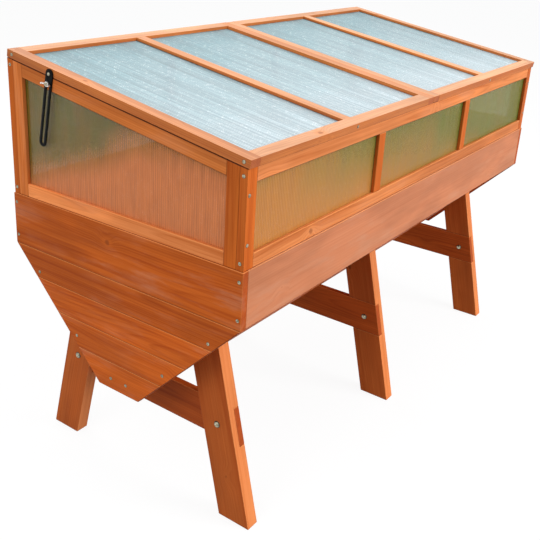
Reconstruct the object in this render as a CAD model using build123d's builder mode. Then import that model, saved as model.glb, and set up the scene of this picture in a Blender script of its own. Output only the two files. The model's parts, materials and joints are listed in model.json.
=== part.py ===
from build123d import *
from math import asin, atan2, cos, hypot, radians, sin, tan

# A raised bed on splayed legs with a glazed cold frame standing on its rim.
# The length runs along X, the low front wall faces -Y, the feet stand on Z = 0.
# Every size is in millimetres and every angle in degrees.

# Trough: end panels of tongued boards, rim boards, sloping boards and a floor board
bed_length = 1800
bed_width = 770
rim_height = 770
timber = 20
rim_board_height = 144
end_board_height = 80
end_board_count = 4
panel_foot_width = 142
slope_inset = 10
floor_lift = 21
tongue_width = 6
tongue_height = 7
tongue_fit = 0.3
board_joint = 0.6
drain_diameter = 14
drain_count = 4

# Legs: three splayed pairs, each tied by a brace let into the legs
leg_thickness = 40
leg_width = 95
leg_splay = 13.5
foot_spread = 746
leg_end_gap = 74
middle_leg_x = -8
brace_height = 105
brace_fit = 0.2

# Bolts that hold the braces: domed head on one side, hexagon nut on the other
bolt_diameter = 8
bolt_head_diameter = 19
bolt_head_height = 5
bolt_rim_taper = 26
bolt_crown_taper = 62
bolt_fit = 0.25
bolt_tip = 3
nut_across_flats = 13
nut_sides = 6
nut_height = 6.5

# Cold frame walls: grooved bars round twin-wall panes
wall_inset = 2.5
front_wall_height = 233
back_wall_height = 361
bar_width = 35
mullion_count = 2
pane_thickness = 4
pane_reveal = 10
pane_fit = 0.25
groove_depth = 8
pane_edge_gap = 1

# Two lids, side by side, lying on the sloping top of the walls
lid_gap = 1.5
lid_seam = 2

# Butt hinges on the back of the frame
hinge_length = 62
hinge_inset = 140
leaf_thickness = 1.6
frame_leaf_height = 26
lid_leaf_height = 17
pin_diameter = 4
pin_fit = 0.05
knuckle_wall = 1.6
knuckle_count = 3
knuckle_gap = 0.4
hinge_stand_off = 0.4

# Slotted stays that hold the lids open: pivot on the lid, stud on the end wall
lid_open_angle = 56
stay_radius = 168
stay_start = 25
stay_width = 25
stay_thickness = 3
stay_gap = 0.5
pivot_height = 6
pivot_diameter = 6
pivot_head_diameter = 10
pivot_head_height = 3
pivot_fit = 0.06
stud_diameter = 8
stud_depth = 16
stud_fit = 0.05
stud_tip = 3
slot_play = 0.4
nut_gap = 0.3
hub_diameter = 13
hub_length = 6
hub_fit = 0.06
wing_span = 30
wing_rise = 7
wing_thickness = 3
wing_root = 1
wing_tip_width = 5
wing_tilt = 10

# Small turned pieces are many-sided rather than round: bolts, pivots, studs, hubs and knuckles
turned_sides = 12

# Countersunk wood screws, the smallest and most
screw_sides = 6
screw_head_diameter = 9
screw_shank_diameter = 4.4
countersink_angle = 90
screw_length = 50
corner_screw_length = 40
screw_fit = 0.1
rim_screw_edge = 25
floor_screw_spacing = 54
leg_screw_places = (0.45, 0.8)

# Trough section: heights, half widths and the slope of the sides
half_length = bed_length / 2
half_width = bed_width / 2
slope_top = rim_height - rim_board_height
panel_foot = slope_top - end_board_count * end_board_height
panel_foot_half = panel_foot_width / 2
slope_angle = atan2(slope_top - panel_foot, half_width - panel_foot_half)
floor_bottom = panel_foot + floor_lift
floor_top = floor_bottom + timber
inner_length = bed_length - 2 * timber

# Cold frame section: the plane of the wall tops and the lid's own slope
wall_half_length = half_length - wall_inset
wall_half_width = half_width - wall_inset
front_top = rim_height + front_wall_height
back_top = rim_height + back_wall_height
lid_slope = atan2(back_top - front_top, 2 * wall_half_width)
slope_up = Vector(0, cos(lid_slope), sin(lid_slope))
slope_normal = Vector(0, -sin(lid_slope), cos(lid_slope))
wall_top = Plane(origin=(0, wall_half_width, back_top), x_dir=(1, 0, 0), z_dir=slope_normal)

# Hinge axis: behind the back wall, level with the middle of the gap under the lids
knuckle_radius = pin_diameter / 2 + pin_fit + knuckle_wall
hinge_offset = knuckle_radius + hinge_stand_off
hinge_y = wall_half_width + hinge_offset
hinge_rise = lid_gap / 2 + hinge_offset * sin(lid_slope)
hinge_z = back_top + hinge_rise / cos(lid_slope)
hinge_axis = Vector(0, hinge_y, hinge_z)

# Lid sheet: from the hinge offset down the slope, overhanging the front as far as the hinge does the back
lid_back_foot = hinge_axis - slope_up * hinge_offset + slope_normal * (lid_gap / 2)
lid_front_reach = hinge_y + knuckle_radius
lid_length = (lid_back_foot.Y + lid_front_reach - timber * sin(lid_slope)) / cos(lid_slope)
lid_middle = Plane(
    origin=lid_back_foot + slope_normal * (timber / 2),
    x_dir=(1, 0, 0),
    z_dir=slope_normal,
)

# Stay triangle: pivot and stud are equally far from the hinge axis
pivot_lift = pivot_height + lid_gap / 2
pivot_angle = lid_slope - asin(pivot_lift / stay_radius)
stud_angle = pivot_angle + 2 * asin(stay_start / 2 / stay_radius)
stay_angle = (pivot_angle + stud_angle) / 2
stay_reach = 2 * stay_radius * sin((stud_angle - pivot_angle + radians(lid_open_angle)) / 2)
slot_width = stud_diameter + 2 * slot_play
pane_level = timber / 2 - pane_reveal - pane_thickness / 2


def save(name, pieces):
    """Write one piece, or a group of like pieces, as one node."""
    with BuildPart() as node:
        add(pieces)
    node.part.label = name
    export_step(node.part, f"parts/{name}.step")


def wall_plane(outward, face):
    """Plane of a wall or panel: x along it, y up, z outward, at its outer face."""
    along = Vector(0, 0, 1).cross(outward)
    return Plane(origin=outward * face, x_dir=along, z_dir=outward)


def screws(seats, length, grow=0):
    """Countersunk screws at the seats, or grown by a fit the holes that they sit in."""
    shank = screw_shank_diameter / 2 + grow
    head = screw_head_diameter / 2 + grow
    with BuildPart() as screw:
        with BuildSketch():
            RegularPolygon(shank, screw_sides, major_radius=False)
        extrude(amount=length + grow)
        with BuildSketch():
            RegularPolygon(head, screw_sides, major_radius=False)
        extrude(amount=(head - shank) / tan(radians(countersink_angle / 2)), taper=countersink_angle / 2)
    with BuildPart() as group:
        with Locations(*[-seat for seat in seats]):
            add(screw.part)
    return group.part


def seat_on(plane, u, v):
    """Seat of a screw on a face, at the face's own coordinates."""
    return Plane(origin=plane.from_local_coords((u, v, 0)), x_dir=plane.x_dir, z_dir=plane.z_dir)


left, right = Vector(-1, 0, 0), Vector(1, 0, 0)
front, back = Vector(0, -1, 0), Vector(0, 1, 0)
end_faces = [wall_plane(side, half_length) for side in (left, right)]


# Trough

def panel_half(z):
    """Half width of an end panel at a height."""
    if z >= slope_top:
        return half_width
    return panel_foot_half + (z - panel_foot) / tan(slope_angle)


def panel_band(low, high):
    """Outline of an end panel between two heights."""
    return [
        (-panel_half(low), low),
        (panel_half(low), low),
        (panel_half(high), high),
        (-panel_half(high), high),
    ]


def on_slope(s, depth):
    """Point of the back slope's section: distance up the slope and depth inside its edge."""
    y = panel_foot_half + s * cos(slope_angle) - depth * sin(slope_angle)
    z = panel_foot + s * sin(slope_angle) + depth * cos(slope_angle)
    return (y, z)


def slope_start(depth):
    """Distance up the slope at which a sloping board stands on the floor board."""
    return (floor_top - panel_foot - depth * cos(slope_angle)) / sin(slope_angle)


def slope_end(depth):
    """Distance up the slope at which a sloping board meets the rim board."""
    rim_face = half_width - timber
    return (rim_face - panel_foot_half + depth * sin(slope_angle)) / cos(slope_angle)


slope_middle_depth = slope_inset + timber / 2
slope_seam = (slope_start(slope_middle_depth) + slope_end(slope_middle_depth)) / 2
slope_screw_rows = [
    (slope_start(slope_middle_depth) + slope_seam) / 2,
    (slope_end(slope_middle_depth) + slope_seam) / 2,
]

# Screw places on an end panel, as half widths and heights
rim_screw_side = half_width - timber / 2
rim_screw_heights = (slope_top + rim_screw_edge, rim_height - rim_screw_edge)
end_screw_points = [(rim_screw_side, z) for z in rim_screw_heights]
end_screw_points += [on_slope(s, slope_middle_depth) for s in slope_screw_rows]
end_screw_points += [(floor_screw_spacing / 2, (floor_bottom + floor_top) / 2)]
end_screw_seats = [
    seat_on(face, side * y, z)
    for face in end_faces
    for side in (-1, 1)
    for y, z in end_screw_points
]
end_screw_holes = screws(end_screw_seats, screw_length, screw_fit)


def end_board(face, low, high, tongued, grooved):
    """One board of an end panel, tongued along its top edge and grooved along its foot."""
    middle = face.offset(-timber / 2)
    top = high - board_joint if tongued else high
    with BuildPart() as board:
        with BuildSketch(middle):
            Polygon(panel_band(low, top), align=None)
        extrude(amount=timber / 2, both=True)
        if tongued:
            with BuildSketch(middle):
                Polygon(panel_band(top, top + tongue_height), align=None)
            extrude(amount=tongue_width / 2, both=True)
        if grooved:
            depth = tongue_height + tongue_fit
            with BuildSketch(middle):
                with Locations((0, low + depth / 2)):
                    Rectangle(bed_width, depth)
            extrude(amount=tongue_width / 2 + tongue_fit, both=True, mode=Mode.SUBTRACT)
        add(end_screw_holes, mode=Mode.SUBTRACT)
    return board.part


save("end_rim_boards", [end_board(face, slope_top, rim_height, False, True) for face in end_faces])
for row in range(end_board_count):
    foot = slope_top - (row + 1) * end_board_height
    lowest = row == end_board_count - 1
    boards = [end_board(face, foot, foot + end_board_height, True, not lowest) for face in end_faces]
    save(f"end_boards_{row + 1}", boards)

for name, side in (("front_rim_board", -1), ("back_rim_board", 1)):
    with BuildPart() as rim_board:
        with BuildSketch(Plane.YZ):
            with Locations((side * rim_screw_side, (slope_top + rim_height) / 2)):
                Rectangle(timber, rim_board_height)
        extrude(amount=inner_length / 2, both=True)
        add(end_screw_holes, mode=Mode.SUBTRACT)
    save(name, rim_board.part)

# Leg lines, and the screws that hold the legs from inside the trough
splay = tan(radians(leg_splay))
leg_breadth = leg_width / cos(radians(leg_splay))
brace_top = floor_bottom
brace_bottom = brace_top - brace_height
bolt_height = (brace_bottom + brace_top) / 2


def leg_y(z, inside):
    """Distance of a leg's line from the middle: inside runs from 0, its outer edge, to 1, its inner."""
    return foot_spread / 2 - inside * leg_breadth - z * splay


def leg_top(inside):
    """Height at which a leg's line meets the outer face of the sloping boards."""
    slope_back = 1 / tan(slope_angle)
    face_at_ground = panel_foot_half - panel_foot * slope_back - slope_inset / sin(slope_angle)
    return (foot_spread / 2 - inside * leg_breadth - face_at_ground) / (slope_back + splay)


bolt_y = leg_y(bolt_height, 0.5)
end_leg_x = inner_length / 2 - leg_end_gap - leg_thickness / 2
leg_pairs = {
    "left": (-end_leg_x, 1),
    "middle": (middle_leg_x, -1),
    "right": (end_leg_x, -1),
}


leg_screw_seats = []
for x, _ in leg_pairs.values():
    for side in (-1, 1):
        inward = Vector(0, -side * sin(slope_angle), cos(slope_angle))
        for inside in leg_screw_places:
            rise = leg_top(inside) - panel_foot - slope_inset * cos(slope_angle)
            y, z = on_slope(rise / sin(slope_angle), slope_inset + timber)
            leg_screw_seats.append(Plane(origin=(x, side * y, z), x_dir=(1, 0, 0), z_dir=inward))
leg_screw_holes = screws(leg_screw_seats, screw_length, screw_fit)


def sloping_board(side, section):
    """One board of a sloping side, from its section on the back side."""
    with BuildPart() as board:
        with BuildSketch(Plane.YZ):
            Polygon([(side * y, z) for y, z in section], align=None)
        extrude(amount=inner_length / 2, both=True)
        add([end_screw_holes, leg_screw_holes], mode=Mode.SUBTRACT)
    return board.part


outer_depth, inner_depth = slope_inset, slope_inset + timber
tongue_depths = (slope_middle_depth - tongue_width / 2, slope_middle_depth + tongue_width / 2)
groove_depths = (tongue_depths[0] - tongue_fit, tongue_depths[1] + tongue_fit)
seam_below = slope_seam - board_joint
tongue_tip = seam_below + tongue_height
groove_end = tongue_tip + tongue_fit
lower_section = [
    on_slope(slope_start(outer_depth), outer_depth),
    on_slope(seam_below, outer_depth),
    on_slope(seam_below, tongue_depths[0]),
    on_slope(tongue_tip, tongue_depths[0]),
    on_slope(tongue_tip, tongue_depths[1]),
    on_slope(seam_below, tongue_depths[1]),
    on_slope(seam_below, inner_depth),
    on_slope(slope_start(inner_depth), inner_depth),
]
upper_section = [
    on_slope(slope_seam, outer_depth),
    on_slope(slope_end(outer_depth), outer_depth),
    on_slope(slope_end(inner_depth), inner_depth),
    on_slope(slope_seam, inner_depth),
    on_slope(slope_seam, groove_depths[1]),
    on_slope(groove_end, groove_depths[1]),
    on_slope(groove_end, groove_depths[0]),
    on_slope(slope_seam, groove_depths[0]),
]
for name, side in (("front", -1), ("back", 1)):
    save(f"{name}_upper_slope_board", sloping_board(side, upper_section))
    save(f"{name}_lower_slope_board", sloping_board(side, lower_section))

floor_top_half = on_slope(slope_start(outer_depth), outer_depth)[0]
floor_bottom_half = floor_top_half - timber / tan(slope_angle)
with BuildPart() as bottom_board:
    with BuildSketch(Plane.YZ):
        Polygon(
            [
                (-floor_bottom_half, floor_bottom),
                (floor_bottom_half, floor_bottom),
                (floor_top_half, floor_top),
                (-floor_top_half, floor_top),
            ],
            align=None,
        )
    extrude(amount=inner_length / 2, both=True)
    with Locations(Plane.XY.offset(floor_top)):
        with GridLocations(inner_length / drain_count, 0, drain_count, 1):
            Hole(drain_diameter / 2)
    add(end_screw_holes, mode=Mode.SUBTRACT)
save("bottom_board", bottom_board.part)


# Legs and braces

def bolt_holes(x):
    """Cross holes for both bolts of a leg pair."""
    with BuildPart() as holes:
        with BuildSketch(Plane(origin=(x, 0, bolt_height), x_dir=(0, 1, 0), z_dir=(1, 0, 0))):
            with Locations((-bolt_y, 0), (bolt_y, 0)):
                RegularPolygon(bolt_diameter / 2 + bolt_fit, turned_sides, major_radius=False)
        extrude(amount=leg_thickness, both=True)
    return holes.part


def brace_outline(grow):
    """Outline of a brace from leg to leg, its ends cut along the legs' outer edges."""
    low, high = brace_bottom - grow, brace_top + grow
    return [
        (-leg_y(low, 0), low),
        (leg_y(low, 0), low),
        (leg_y(high, 0), high),
        (-leg_y(high, 0), high),
    ]


for pair, (x, brace_side) in leg_pairs.items():
    brace_face = Plane.YZ.offset(x + brace_side * leg_thickness / 2)
    for row, side in (("front", -1), ("back", 1)):
        with BuildPart() as leg:
            with BuildSketch(Plane.YZ.offset(x)):
                corners = [
                    (leg_y(0, 0), 0),
                    (leg_y(leg_top(0), 0), leg_top(0)),
                    (leg_y(leg_top(1), 1), leg_top(1)),
                    (leg_y(0, 1), 0),
                ]
                Polygon([(side * y, z) for y, z in corners], align=None)
            extrude(amount=leg_thickness / 2, both=True)
            with BuildSketch(brace_face):
                Polygon(brace_outline(brace_fit), align=None)
            extrude(amount=-brace_side * timber, mode=Mode.SUBTRACT)
            add([bolt_holes(x), leg_screw_holes], mode=Mode.SUBTRACT)
        save(f"{pair}_{row}_leg", leg.part)
    with BuildPart() as brace:
        with BuildSketch(brace_face):
            Polygon(brace_outline(0), align=None)
        extrude(amount=-brace_side * timber)
        add(bolt_holes(x), mode=Mode.SUBTRACT)
    save(f"{pair}_brace", brace.part)

bolt_seats = [
    Plane(origin=(x + leg_thickness / 2, side * bolt_y, bolt_height), x_dir=(0, 1, 0), z_dir=(1, 0, 0))
    for x, _ in leg_pairs.values()
    for side in (-1, 1)
]
with BuildPart() as bolt:
    with BuildSketch():
        RegularPolygon(bolt_diameter / 2, turned_sides)
    extrude(amount=-(leg_thickness + nut_height + bolt_tip))
    with BuildSketch():
        RegularPolygon(bolt_head_diameter / 2, turned_sides)
    extrude(amount=bolt_head_height / 2, taper=bolt_rim_taper)
    extrude(bolt.faces().sort_by(Axis.Z)[-1], amount=bolt_head_height / 2, taper=bolt_crown_taper)
with BuildPart() as bolts:
    with Locations(*[-seat.offset(-leg_thickness) for seat in bolt_seats]):
        add(bolt.part)
with BuildPart() as nuts:
    with BuildSketch(*bolt_seats):
        RegularPolygon(nut_across_flats / 2, nut_sides, major_radius=False)
        RegularPolygon(bolt_diameter / 2 + bolt_fit, turned_sides, major_radius=False, mode=Mode.SUBTRACT)
    extrude(amount=nut_height)
save("brace_bolts", bolts.part)
save("brace_nuts", nuts.part)


# Cold frame walls

def box_outline(u_low, u_high, v_low, v_high):
    """Rectangle in the plane of a wall or lid."""
    return [(u_low, v_low), (u_high, v_low), (u_high, v_high), (u_low, v_high)]


def opening_outline(opening, margin):
    """Opening between bars, with a level foot and a straight head, grown by a margin."""
    u_low, u_high, v_low, head, head_rate = opening
    u_low, u_high, v_low = u_low - margin, u_high + margin, v_low - margin
    head += margin * hypot(1, head_rate)
    return [
        (u_low, v_low),
        (u_high, v_low),
        (u_high, head + head_rate * u_high),
        (u_low, head + head_rate * u_low),
    ]


def flat_bar(middle, outline, openings, holes=None, trim=None):
    """One timber of a glazed frame, grooved where the panes' edges run into it."""
    with BuildPart() as bar:
        with BuildSketch(middle):
            Polygon(outline, align=None)
        extrude(amount=timber / 2, both=True)
        with BuildSketch(middle.offset(pane_level)):
            for opening in openings:
                Polygon(opening_outline(opening, groove_depth), align=None)
        extrude(amount=pane_thickness / 2 + pane_fit, both=True, mode=Mode.SUBTRACT)
        if holes:
            add(holes, mode=Mode.SUBTRACT)
        if trim:
            split(bisect_by=trim, keep=Keep.BOTTOM)
    return bar.part


def pane_sheet(middle, opening):
    """One pane, with its edges in the grooves."""
    with BuildPart() as pane:
        with BuildSketch(middle.offset(pane_level)):
            Polygon(opening_outline(opening, groove_depth - pane_edge_gap), align=None)
        extrude(amount=pane_thickness / 2, both=True)
    return pane.part


def bore(piece, seat, radius):
    """The same piece with a blind hole for a stud, pressed in from its outer face."""
    with BuildPart() as bored:
        add(piece)
        with BuildSketch(seat):
            RegularPolygon(radius, turned_sides, major_radius=False)
        extrude(amount=-stud_depth, mode=Mode.SUBTRACT)
    return bored.part


stile_inner = wall_half_length - bar_width
rail_head = rim_height + bar_width
stile_screw_u = wall_half_length - timber / 2
post_middle = wall_half_width - timber / 2
pane_count = mullion_count + 1
pane_width = (2 * stile_inner - mullion_count * bar_width) / pane_count
pane_starts = [-stile_inner + i * (pane_width + bar_width) for i in range(pane_count)]
wall_ends = [wall_plane(side, wall_half_length) for side in (left, right)]
corner_screw_seats = []
rail_screw_seats = []

for name, outward, top in (("front", front, front_top), ("back", back, back_top)):
    face = wall_plane(outward, wall_half_width)
    middle = face.offset(-timber / 2)
    beam_foot = top - bar_width
    trim_room = top + timber
    openings = [(u, u + pane_width, rail_head, beam_foot, 0) for u in pane_starts]
    corner_rows = (rail_head + rim_screw_edge, beam_foot - rim_screw_edge)
    corners = [seat_on(face, side * stile_screw_u, z) for side in (-1, 1) for z in corner_rows]
    rail_rows = ((rim_height + rail_head) / 2, (beam_foot + top) / 2)
    rail_ends = [
        seat_on(end, end.x_dir.Y * outward.Y * post_middle, z) for end in wall_ends for z in rail_rows
    ]
    corner_screw_seats += corners
    rail_screw_seats += rail_ends
    corner_holes = screws(corners, corner_screw_length, screw_fit)
    holes = [corner_holes, screws(rail_ends, screw_length, screw_fit)]
    stile_spans = ((-wall_half_length, -stile_inner), (stile_inner, wall_half_length))
    stiles = [
        flat_bar(middle, box_outline(*span, rim_height, trim_room), openings, holes, wall_top)
        for span in stile_spans
    ]
    top_rail = box_outline(-stile_inner, stile_inner, beam_foot, trim_room)
    bottom_rail = box_outline(-stile_inner, stile_inner, rim_height, rail_head)
    mullions = [
        flat_bar(middle, box_outline(u - bar_width, u, rail_head, beam_foot), openings)
        for u in pane_starts[1:]
    ]
    save(f"{name}_wall_stiles", stiles)
    save(f"{name}_wall_top_rail", flat_bar(middle, top_rail, openings, holes, wall_top))
    save(f"{name}_wall_bottom_rail", flat_bar(middle, bottom_rail, openings, holes))
    save(f"{name}_wall_mullions", mullions)
    save(f"{name}_wall_panes", [pane_sheet(middle, opening) for opening in openings])

corner_screw_holes = screws(corner_screw_seats, corner_screw_length, screw_fit)
end_half = wall_half_width - timber
end_inner = end_half - bar_width
end_rate = tan(lid_slope)
end_top = (front_top + back_top) / 2
beam_drop = bar_width / cos(lid_slope)
stud_y = hinge_y - stay_radius * cos(stud_angle)
stud_z = hinge_z - stay_radius * sin(stud_angle)
nut_foot = stay_gap + stay_thickness + nut_gap
end_pieces = {"front_stiles": [], "back_stiles": [], "top_rails": [], "bottom_rails": [], "panes": []}
studs = []
for face in wall_ends:
    middle = face.offset(-timber / 2)
    backward = face.x_dir.Y
    rate = backward * end_rate
    opening = (-end_inner, end_inner, rail_head, end_top - beam_drop, rate)
    for row, side in (("front_stiles", -backward), ("back_stiles", backward)):
        low, high = sorted((side * end_inner, side * end_half))
        outline = opening_outline((low, high, rim_height, end_top, rate), 0)
        end_pieces[row].append(flat_bar(middle, outline, [opening], corner_screw_holes))
    beam = [
        (-end_inner, end_top - beam_drop - rate * end_inner),
        (end_inner, end_top - beam_drop + rate * end_inner),
        (end_inner, end_top + rate * end_inner),
        (-end_inner, end_top - rate * end_inner),
    ]
    stud_seat = seat_on(face, backward * stud_y, stud_z)
    top_rail = bore(flat_bar(middle, beam, [opening]), stud_seat, stud_diameter / 2 + stud_fit)
    end_pieces["top_rails"].append(top_rail)
    foot_rail = box_outline(-end_inner, end_inner, rim_height, rail_head)
    end_pieces["bottom_rails"].append(flat_bar(middle, foot_rail, [opening]))
    end_pieces["panes"].append(pane_sheet(middle, opening))
    with BuildPart() as stud:
        with BuildSketch(stud_seat.offset(-stud_depth)):
            RegularPolygon(stud_diameter / 2, turned_sides)
        extrude(amount=stud_depth + nut_foot + hub_length + stud_tip)
    studs.append(stud.part)
for row, pieces in end_pieces.items():
    save(f"end_wall_{row}", pieces)
save("stay_studs", studs)
long_screws = screws(end_screw_seats + leg_screw_seats + rail_screw_seats, screw_length)
save("frame_screws", [long_screws, screws(corner_screw_seats, corner_screw_length)])


# Lids, with their hinges, stays and wing nuts

knuckle_pitch = hinge_length / knuckle_count
leaf_edge = knuckle_radius + knuckle_gap
frame_knuckles = range(0, knuckle_count, 2)
lid_knuckles = range(1, knuckle_count, 2)
pivot_y = hinge_y - stay_radius * cos(pivot_angle)
pivot_z = hinge_z - stay_radius * sin(pivot_angle)
stay_up = Vector(0, -sin(stay_angle), cos(stay_angle))


def hinge_leaf(x, along, behind, height, knuckles):
    """One leaf of a butt hinge: a plate on the timber, rolled round the pin in its own knuckles."""
    section = Plane(origin=(x, hinge_y, hinge_z), x_dir=behind, z_dir=behind.cross(along))
    plate = leaf_thickness / 2 - hinge_offset
    with BuildPart() as leaf:
        with BuildSketch(section):
            with Locations((plate, (leaf_edge + height) / 2)):
                Rectangle(leaf_thickness, height - leaf_edge)
        extrude(amount=hinge_length / 2, both=True)
        for i in knuckles:
            start = (i - knuckle_count / 2) * knuckle_pitch
            with BuildSketch(section.offset(start + knuckle_gap / 2)):
                RegularPolygon(knuckle_radius, turned_sides)
                with Locations((plate, leaf_edge / 2)):
                    Rectangle(leaf_thickness, leaf_edge)
                RegularPolygon(
                    pin_diameter / 2 + pin_fit, turned_sides, major_radius=False, mode=Mode.SUBTRACT
                )
            extrude(amount=knuckle_pitch - knuckle_gap)
    return leaf.part


def stay_strap(seat):
    """Flat slotted strap: round ends, a pivot hole and one long slot for the stud."""
    with BuildPart() as strap:
        with BuildSketch(seat):
            with Locations((0, -stay_reach / 2)):
                SlotCenterToCenter(stay_reach, stay_width, rotation=90)
            with Locations((0, -(stay_start + stay_reach) / 2)):
                SlotCenterToCenter(stay_reach - stay_start, slot_width, rotation=90, mode=Mode.SUBTRACT)
            RegularPolygon(
                pivot_diameter / 2 + pivot_fit, turned_sides, major_radius=False, mode=Mode.SUBTRACT
            )
        extrude(amount=stay_thickness)
    return strap.part


def wing_nut(seat):
    """Wing nut: a turned hub with two upswept wings."""
    tip = wing_span / 2
    crown = hub_length + wing_rise
    shoulder = crown - wing_tip_width / 2
    hub = hub_diameter / 2
    upright = Plane(origin=seat.origin, x_dir=seat.x_dir, z_dir=-seat.y_dir)
    with BuildPart() as nut:
        with BuildSketch(upright):
            with BuildLine():
                Polyline((0, wing_root), (hub, wing_root), (tip, hub_length), (tip, shoulder))
                ThreePointArc(
                    (tip, shoulder), (tip - wing_tip_width / 2, crown), (tip - wing_tip_width, shoulder)
                )
                Polyline(
                    (tip - wing_tip_width, shoulder), (hub / 2, hub_length), (0, hub_length), (0, wing_root)
                )
            make_face()
            mirror(about=Plane.YZ)
        extrude(amount=wing_thickness / 2, both=True)
        with BuildSketch(seat):
            RegularPolygon(hub, turned_sides)
        extrude(amount=hub_length)
        with BuildSketch(seat):
            RegularPolygon(stud_diameter / 2 + hub_fit, turned_sides, major_radius=False)
        extrude(amount=crown, mode=Mode.SUBTRACT)
    return nut.part


lids = {
    "left": (wall_ends[0], -wall_half_length, -lid_seam / 2),
    "right": (wall_ends[1], lid_seam / 2, wall_half_length),
}
frame_leaves = []
hinge_pins = []
for name, (end_face, low, high) in lids.items():
    inner_low, inner_high = low + bar_width, high - bar_width
    inner_foot, inner_head = bar_width - lid_length, -bar_width
    bar_low, bar_high = (low + high - bar_width) / 2, (low + high + bar_width) / 2
    openings = [
        (inner_low, bar_low, inner_foot, inner_head, 0),
        (bar_high, inner_high, inner_foot, inner_head, 0),
    ]
    seats = [
        Plane(origin=lid_middle.from_local_coords((x, v, 0)), x_dir=slope_up, z_dir=(outward, 0, 0))
        for x, outward in ((low, -1), (high, 1))
        for v in (bar_width / 2 - lid_length, -bar_width / 2)
    ]
    seats += [
        Plane(
            origin=lid_middle.from_local_coords(((low + high) / 2, v, 0)),
            x_dir=(1, 0, 0),
            z_dir=slope_up * outward,
        )
        for v, outward in ((-lid_length, -1), (0, 1))
    ]
    holes = screws(seats, screw_length, screw_fit)
    pivot_seat = seat_on(end_face, end_face.x_dir.Y * pivot_y, pivot_z)
    side_rails = [
        bore(
            flat_bar(lid_middle, box_outline(*span, -lid_length, 0), openings, holes),
            pivot_seat,
            pivot_diameter / 2 + stud_fit,
        )
        for span in ((low, inner_low), (inner_high, high))
    ]
    cross_rails = [
        flat_bar(lid_middle, box_outline(inner_low, inner_high, *span), openings, holes)
        for span in ((-lid_length, inner_foot), (inner_head, 0))
    ]
    bar_outline = box_outline(bar_low, bar_high, inner_foot, inner_head)
    save(f"{name}_lid_side_rails", side_rails)
    save(f"{name}_lid_cross_rails", cross_rails)
    save(f"{name}_lid_bar", flat_bar(lid_middle, bar_outline, openings, holes))
    save(f"{name}_lid_panes", [pane_sheet(lid_middle, opening) for opening in openings])
    save(f"{name}_lid_screws", screws(seats, screw_length))

    hinge_places = (low + hinge_inset, high - hinge_inset)
    lid_leaves = []
    for x in hinge_places:
        frame_leaves.append(hinge_leaf(x, Vector(0, 0, -1), back, frame_leaf_height, frame_knuckles))
        lid_leaves.append(hinge_leaf(x, slope_normal, slope_up, lid_leaf_height, lid_knuckles))
        with BuildPart() as pin:
            with BuildSketch(Plane(origin=(x, hinge_y, hinge_z), x_dir=(0, 1, 0), z_dir=(1, 0, 0))):
                Circle(pin_diameter / 2)
            extrude(amount=hinge_length / 2, both=True)
        hinge_pins.append(pin.part)
    save(f"{name}_lid_hinge_leaves", lid_leaves)

    with BuildPart() as pivot:
        with BuildSketch(pivot_seat.offset(-stud_depth)):
            RegularPolygon(pivot_diameter / 2, turned_sides)
        extrude(amount=stud_depth + nut_foot)
        with BuildSketch(pivot_seat.offset(nut_foot)):
            RegularPolygon(pivot_head_diameter / 2, turned_sides)
        extrude(amount=pivot_head_height)
        head_face = pivot.faces().sort_by(Axis(pivot_seat.origin, pivot_seat.z_dir))[-1]
        chamfer(head_face.edges(), pivot_head_height / 2)
    save(f"{name}_stay_pivot", pivot.part)

    strap_face = pivot_seat.offset(stay_gap)
    strap_seat = Plane(
        origin=strap_face.origin, x_dir=stay_up.cross(end_face.z_dir), z_dir=end_face.z_dir
    )
    save(f"{name}_stay", stay_strap(strap_seat))
    nut_seat = seat_on(end_face, end_face.x_dir.Y * stud_y, stud_z).offset(nut_foot)
    save(f"{name}_wing_nut", wing_nut(nut_seat.rotated((wing_tilt, 0, 0))))
save("hinge_frame_leaves", frame_leaves)
save("hinge_pins", hinge_pins)

print(f"hinge axis y {hinge_y:.4f} z {hinge_z:.4f}")
print(f"stay pivot y {pivot_y:.4f} z {pivot_z:.4f}")
print(f"stay stud y {stud_y:.4f} z {stud_z:.4f}")
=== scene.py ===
import json
import math
import random

import bmesh
import bpy
from mathutils import Matrix, Vector
from mathutils.geometry import tessellate_polygon

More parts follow.
